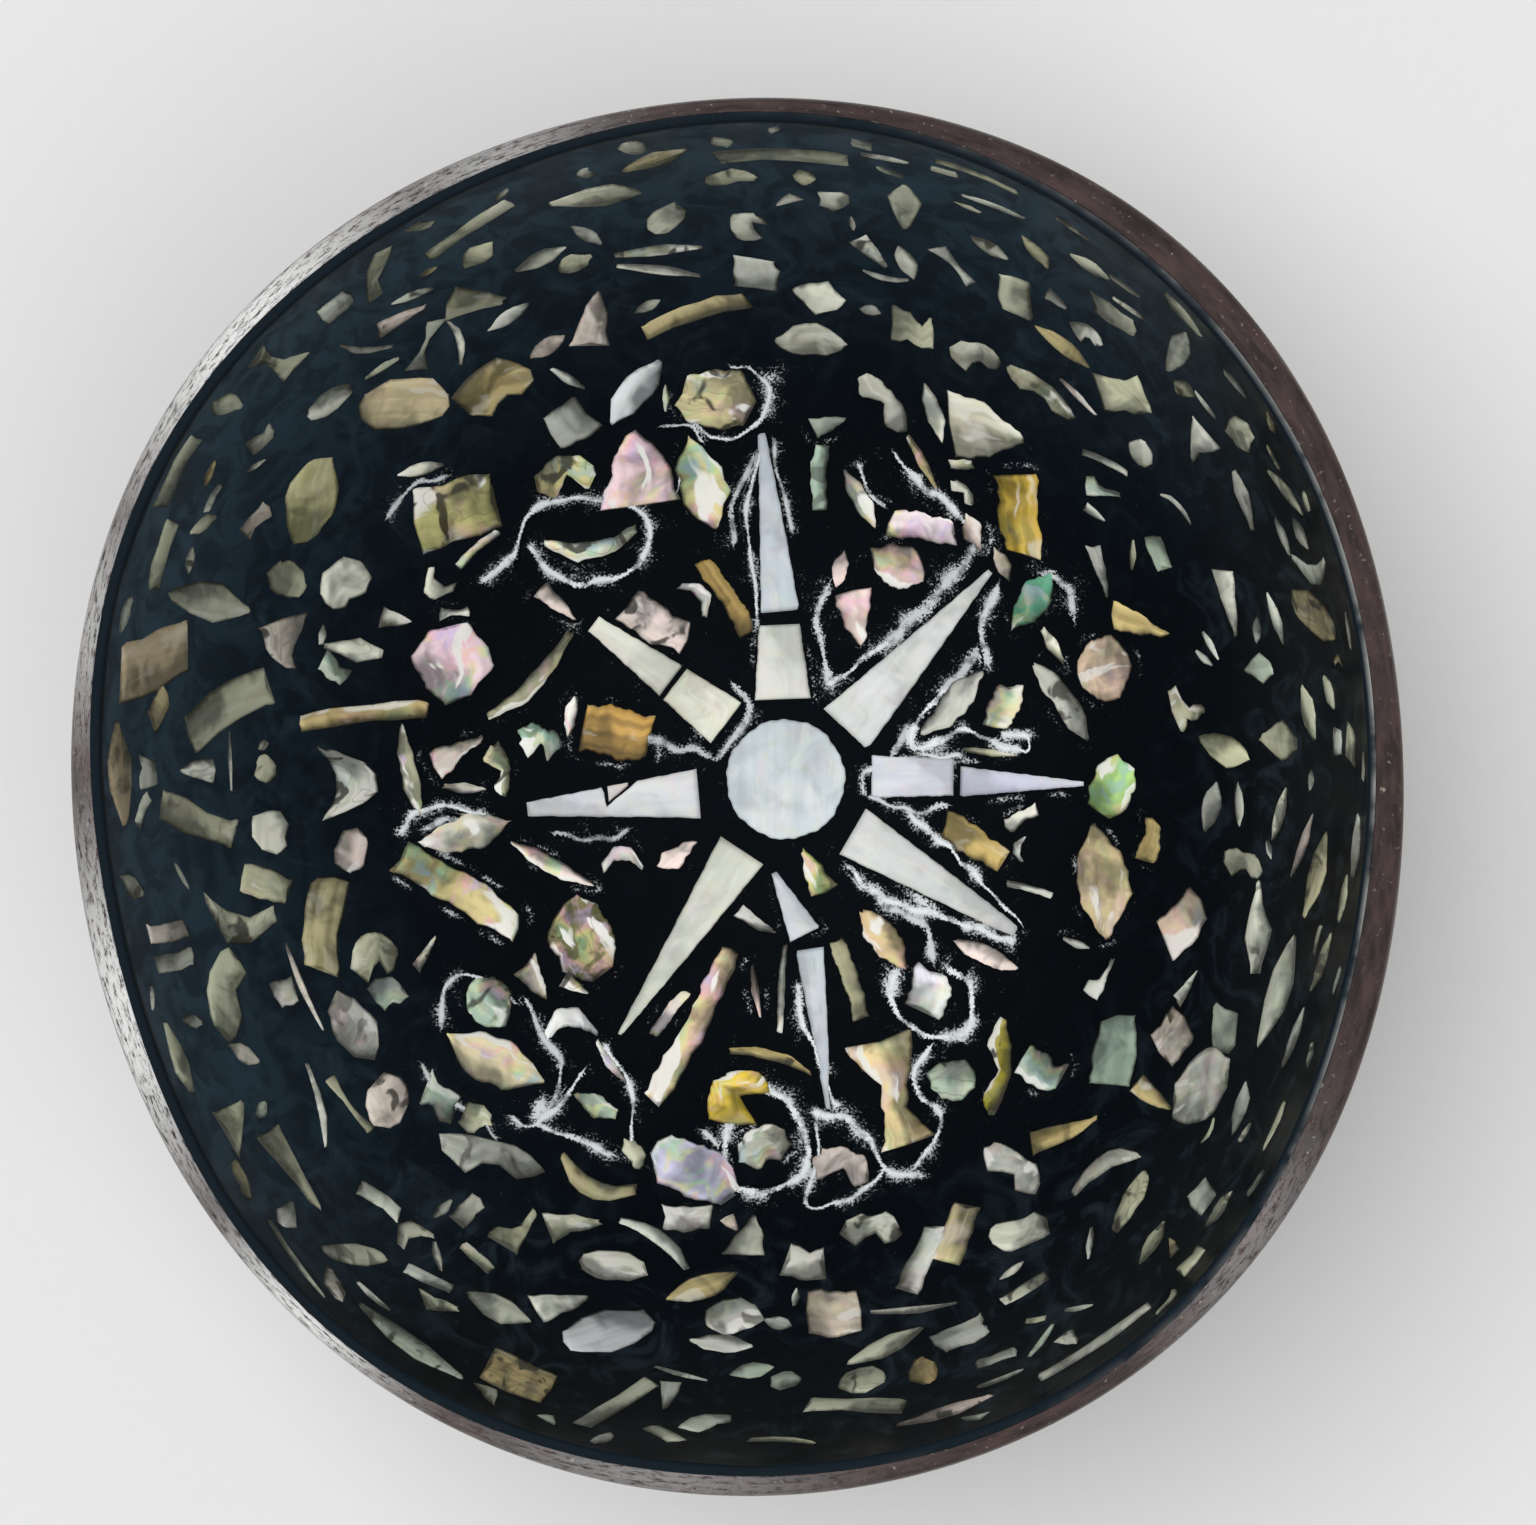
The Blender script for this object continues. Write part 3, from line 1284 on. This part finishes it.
@dataclass
class Lacquer:
    """The lacquer lining: sheets of the floor, the curve and the wall, with ridges, dust and a lip."""

    seed: int = 31
    level: float = 0.46
    hem: float = 0.02
    ripple_size: float = 0.04
    ridge_size: float = 0.16
    ridge_slim: float = 0.75
    drawn_up: float = 0.1
    drawn_reach: float = 0.5
    scuff_slim: float = 0.8
    scuff_gain: float = 1.5
    far_off: float = 9.0
    sheets: tuple[tuple[str, float, float, int, int], ...] = (
        ("lacquer_floor", 0.05, 30.0, 100, 640),
        ("lacquer_curve", 30.0, 56.0, 80, 1040),
        ("lacquer_wall", 56.0, NUT.rim_arc - 0.5, 90, 540),
    )
    reach: float = 3.0
    common_off: float = 0.75
    common_arc: float = 50.0
    pale_lip: tuple[float, float] = (8.0, 44.0)
    clouds: tuple[Cloud, ...] = (
        Cloud(46.5, 91, 3.2, 2.2, 20, 0.3),
        Cloud(47, 234, 3, 1.6, 60, 0.4),
        Cloud(21, 319, 5, 1.2, -35, 0.35),
        Cloud(11, 150, 4, 2, 60, 0.25),
    )

    def wear(self, flat: Array, strips: list[Strip]) -> Wear:
        """How the lining is worn at each of its points.

        A scuff is a line of uneven width along its curve, strayed by slow noise, with dust that thins out
        beside it. Round the pieces of the floor lies faint dust, at a set distance from their outlines.

        Args:
            flat: flat places of the lining's points.
            strips: all pieces of the inlay.

        Returns:
            The wear.
        """
        draw = np.random.default_rng(self.seed)
        dust = np.max([cloud.at(flat) for cloud in self.clouds], axis=0)
        count = len(flat)
        wear = Wear(np.zeros(count), np.full(count, self.far_off), dust, np.full(count, self.reach))
        broken = ripple(flat, 0.12, 5)
        uneven = 1 + 0.3 * ripple(flat, 0.2, 6)
        stray = flat + 0.2 * np.stack([ripple(flat, 0.2, 8), ripple(flat, 0.2, 9)], -1)
        for strip in strips:
            size = draw.uniform(0, 1) ** 2 * 0.5
            off = self.common_off * draw.uniform(0.7, 1.5)
            far = float(ease((self.common_arc - np.linalg.norm(strip.middle)) / 6))
            box, gaps = self.gaps(flat, strip.outline())
            gaps = np.abs(gaps)
            wear.near[box] = np.minimum(wear.near[box], gaps)
            faint = far * size * ease(broken[box] + 0.35)
            wear.dust[box] = np.maximum(wear.dust[box], 0.5 * faint * bell((gaps - off) / 0.5))
        for scuff in SCUFFS:
            box, gaps = self.gaps(stray, scuff.curve())
            width = self.scuff_slim * scuff.wide * uneven[box]
            wear.press(box, gaps / width, min(1, self.scuff_gain * scuff.size))
            spread = np.exp(-np.abs(gaps) / (1.5 * scuff.wide + 0.3))
            wear.dust[box] = np.maximum(wear.dust[box], 0.6 * scuff.size * spread * ease(0.7 + broken[box]))
        return wear

    def gaps(self, flat: Array, line: Array) -> tuple[Array, Array]:
        """Distances of places from a line, within reach of its box, with a sign for the line's side.

        Args:
            flat: flat places.
            line: flat points of the line.

        Returns:
            Numbers of the places within reach, and the distance of each.
        """
        box = np.flatnonzero(((flat > line.min(0) - self.reach) & (flat < line.max(0) + self.reach)).all(1))
        nearest = ((flat[box][:, None] - line[None]) ** 2).sum(-1).argmin(1)
        ahead = np.gradient(line, axis=0)
        ahead /= np.linalg.norm(ahead, axis=1, keepdims=True)
        off = flat[box] - line[nearest]
        aside = ahead[nearest, 0] * off[:, 1] - ahead[nearest, 1] * off[:, 0]
        whole = np.where(aside < 0, -1, 1) * np.linalg.norm(off, axis=1)
        return box, np.where((nearest > 0) & (nearest < len(line) - 1), aside, whole)

    def build(self, strips: list[Strip]) -> None:
        """Makes the sheets of the lining, each closed behind, with a narrow hem at its edges.

        Args:
            strips: all pieces of the inlay.
        """
        material = LacquerFinish().material()
        for name, start, stop, rows, steps in self.sheets:
            arcs = np.linspace(start, stop, rows)
            arcs = np.sort(np.concatenate([arcs, [start + self.hem, stop + self.hem]]))
            self.sheet(name, arcs, steps, strips, material, stop > NUT.rim_arc - 1)

    def closing(self, arcs: Array, lipped: bool) -> Array:
        """Rings that close a sheet behind, from its last arc to its first.

        Args:
            arcs: arc of each ring of the sheet.
            lipped: whether the sheet ends in the rim's lip.

        Returns:
            Slope, depth and paleness, one row to a ring.
        """
        back = NUT.shell_t
        rings = [(slope, back, 0.0) for slope in NUT.slope_at(np.linspace(arcs[-1], arcs[0], 8))]
        if lipped:
            flush = np.pi / 2
            face = NUT.back + self.level
            rings[:1] = [
                (flush - 0.005, face - 0.02, 0.0),
                (flush - 0.002, face - 0.12, 0.0),
                (flush, face - 0.3, 0.0),
                (flush, back + 0.25, 0.6),
                (flush, back + 0.1, 1.0),
                (flush, back, 1.0),
            ]
        return np.array(rings)

    def sheet(self, name: str, arcs: Array, steps: int, strips: list[Strip], material: bpy.types.Material,
              lipped: bool) -> None:
        """Makes one sheet: rings of the lining with ripples, ridges and the lacquer drawn up to the inlay.

        Args:
            name: name of the piece.
            arcs: arc of each ring.
            steps: points in a ring.
            strips: all pieces of the inlay.
            material: the finish.
            lipped: whether the sheet ends in the rim's lip.
        """
        turn = around(steps)
        flat = (arcs[:, None, None] * ways(turn)[None]).reshape(-1, 2)
        wear = self.wear(flat, strips)
        ridges = self.ridge_size * wear.rubbed * bell(self.ridge_slim * wear.ridge)
        drawn = self.drawn_up * np.exp(-wear.near / self.drawn_reach)
        rise = self.level + self.ripple_size * ripple(flat, 0.05, 3) + ridges + drawn
        points = NUT.lay(flat, rise).reshape(len(arcs), steps, 3)
        slopes, depths, pale = self.closing(arcs, lipped).T
        closed = NUT.point(slopes[:, None], depths[:, None], turn)
        points = np.concatenate([points, closed])
        crest, spread = np.radians(self.pale_lip)
        window = bell(((turn - crest + np.pi) % (2 * np.pi) - np.pi) / spread)
        hidden = np.zeros(closed[..., 0].size)
        fields = {
            "rubbed": np.concatenate([wear.rubbed, hidden]),
            "ridge": np.concatenate([wear.ridge, hidden + self.far_off]),
            "dust": np.concatenate([wear.dust, hidden]),
            "lip": np.concatenate([np.zeros(len(flat)), (pale[:, None] * window).ravel()]),
        }
        faces = inside_out(tube(len(points), steps))
        if arcs[0] > 1:
            front = faces[1][0]
            last = faces[2][0, ::-1]
            faces[1:] = [np.stack([last, front, np.roll(front, -1), np.roll(last, -1)], -1)]
        chart = np.concatenate([flat, closed[..., :2].reshape(-1, 2)])
        piece = make_piece(name, points.reshape(-1, 3), faces, material, chart, fields)
        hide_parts("lacquer_lining")


@dataclass
class Shell:
    """The coconut shell: its outside, the sawn rim with a rounded edge, and its hidden inside."""

    steps: int = 420
    foot_rings: int = 6
    wall_rings: int = 150
    rim_rings: int = 9
    sawn_rings: int = 8
    inner_rings: int = 20
    rim_round: float = 0.9
    saw_wander: float = 0.12
    worn_at: tuple[tuple[float, float, float], ...] = (
        (137, 16, 0.95),
        (165, 10, 0.5),
        (200, 14, 0.9),
        (230, 9, 0.9),
        (112, 9, 0.4),
        (262, 14, 0.25),
        (318, 10, 0.2),
    )

    def build(self) -> None:
        """Makes the shell as a closed profile of slope and depth, swept round with the nut's lobes."""
        foot = np.arcsin(NUT.foot_r / NUT.crown_r)
        bend = self.rim_round / NUT.wall_r
        upright = np.pi / 2
        quarter = np.linspace(0, np.pi / 2, self.rim_rings)
        slopes = np.concatenate([
            np.linspace(NEAR_AXIS, foot, self.foot_rings),
            np.linspace(foot, upright - bend, self.wall_rings)[1:],
            upright - bend * (1 - np.sin(quarter)),
            np.full(self.sawn_rings, upright),
            np.linspace(upright, NEAR_AXIS, self.inner_rings),
        ])
        outer = self.foot_rings + self.wall_rings - 1
        backs = np.concatenate([
            np.zeros(outer),
            self.rim_round * (1 - np.cos(quarter)),
            np.linspace(self.rim_round, NUT.shell_t, self.sawn_rings + 2)[1:-1],
            np.full(self.inner_rings, NUT.shell_t),
        ])
        turn = around(self.steps)
        points = NUT.point(slopes[:, None], backs[:, None], turn[None])
        rows = len(slopes)
        ring = np.arange(rows)
        sawn = ease((ring - outer - self.rim_rings // 2 + 3) / 3) * (ring < rows - self.inner_rings + 1)
        uneven = 0.5 + 0.5 * ripple(ways(turn) * NUT.rim_r, 0.05, 12)
        points[..., 2] -= self.saw_wander * sawn[:, None] * uneven[None]
        points[..., 2] = np.maximum(points[..., 2], 0)
        degrees = np.degrees(turn)
        worn = np.max([size * bell((degrees - at) / wide) for at, wide, size in self.worn_at], axis=0)
        chart = np.stack(np.broadcast_arrays(turn[None] * NUT.rim_r, distances(points[:, 0])[:, None]), -1)
        fields = {"sawn": np.repeat(sawn, self.steps), "worn": np.tile(worn, rows)}
        piece = make_piece("coconut_half", points.reshape(-1, 3), tube(rows, self.steps),
                           CoconutFinish().material(), chart.reshape(-1, 2), fields)
        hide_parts("coconut_shell")


@dataclass
class Studio:
    """A pale floor, soft lamps overhead and the camera of the photograph's view."""

    floor: Colour = (222, 222, 221)
    floor_size: float = 6.0
    floor_gap: float = 0.0005
    sky: float = 0.34
    sky_light: Light = (0.95, 0.98, 1.0, 1.0)
    lamp_aim: tuple[float, float, float] = (0.0, 0.0, 0.03)
    eye: tuple[float, float, float] = (35.4, 10.8, 458.0)
    aim: tuple[float, float, float] = (0.0, 0.0, 58.0)
    focus_px: float = 4083.0
    aim_px: tuple[float, float] = (741.7, 792.5)

    def build(self) -> None:
        """Makes the floor, the lamps, the sky and the camera."""
        self.lay_floor()
        self.hang_lamp("key", (-0.35, 0.3, 1.5), 1.3, 18.5)
        self.hang_lamp("fill", (0.5, -0.5, 1.4), 1.1, 7.0)
        world = bpy.data.worlds.new("sky")
        bpy.context.scene.world = world
        world.use_nodes = True
        background = world.node_tree.nodes["Background"]
        background.inputs["Color"].default_value = self.sky_light
        background.inputs["Strength"].default_value = self.sky
        bpy.context.scene.view_settings.view_transform = "Standard"
        self.set_camera()

    def lay_floor(self) -> None:
        """Lays a plain pale floor under the bowl."""
        half = self.floor_size / 2
        mesh = bpy.data.meshes.new("floor")
        corners = [(-half, -half, 0), (half, -half, 0), (half, half, 0), (-half, half, 0)]
        mesh.from_pydata(corners, [], [(0, 1, 2, 3)])
        recipe = Recipe("pale floor")
        paper = recipe.noise(600, 3, where=recipe.place())
        base = recipe.mix(recipe.span(paper, 0.3, 0.7, 0, 0.04), linear(self.floor), (0.6, 0.6, 0.6, 1))
        mesh.materials.append(recipe.finish(Base_Color=base, Roughness=0.8, Specular_IOR_Level=0.1))
        floor = bpy.data.objects.new("floor", mesh)
        floor.location.z = -self.floor_gap
        bpy.context.scene.collection.objects.link(floor)

    def hang_lamp(self, name: str, place: tuple[float, float, float], size: float, watts: float) -> None:
        """Hangs a square soft lamp that faces the bowl and does not show in reflections.

        Args:
            name: name of the lamp.
            place: its place in metres.
            size: length of its side.
            watts: its power.
        """
        lamp = bpy.data.lights.new(name, "AREA")
        lamp.size = size
        lamp.energy = watts
        hung = bpy.data.objects.new(name, lamp)
        hung.location = place
        ahead = Vector(self.lamp_aim) - Vector(place)
        hung.rotation_euler = ahead.to_track_quat("-Z", "Y").to_euler()
        hung.visible_glossy = False
        bpy.context.scene.collection.objects.link(hung)

    def set_camera(self) -> None:
        """Sets the camera: it looks from eye to aim with +Y up, and its shift puts the aim on its pixel."""
        eye = Vector(self.eye) * MM
        ahead = (Vector(self.aim) * MM - eye).normalized()
        right = ahead.cross(Vector((0, 1, 0))).normalized()
        up = right.cross(ahead)
        data = bpy.data.cameras.new("camera")
        data.sensor_width = 36.0
        data.lens = self.focus_px / IMAGE_WIDTH * data.sensor_width
        data.shift_x = (IMAGE_WIDTH / 2 - self.aim_px[0]) / IMAGE_WIDTH
        data.shift_y = (self.aim_px[1] - IMAGE_HEIGHT / 2) / IMAGE_WIDTH
        data.clip_start = 0.01
        camera = bpy.data.objects.new("camera", data)
        turn = Matrix((right, up, -ahead)).transposed().to_4x4()
        camera.matrix_world = Matrix.Translation(eye) @ turn
        bpy.context.scene.collection.objects.link(camera)
        bpy.context.scene.camera = camera


def main() -> None:
    """Builds the bowl and its studio."""
    logging.basicConfig(level=logging.INFO, format="%(message)s")
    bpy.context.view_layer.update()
    Shell().build()
    strips = Star().build() + ChipField().build()
    log.info("inlay: %d pieces", len(strips))
    Lacquer().build(strips)
    Studio().build()


if __name__ == "__main__":
    main()
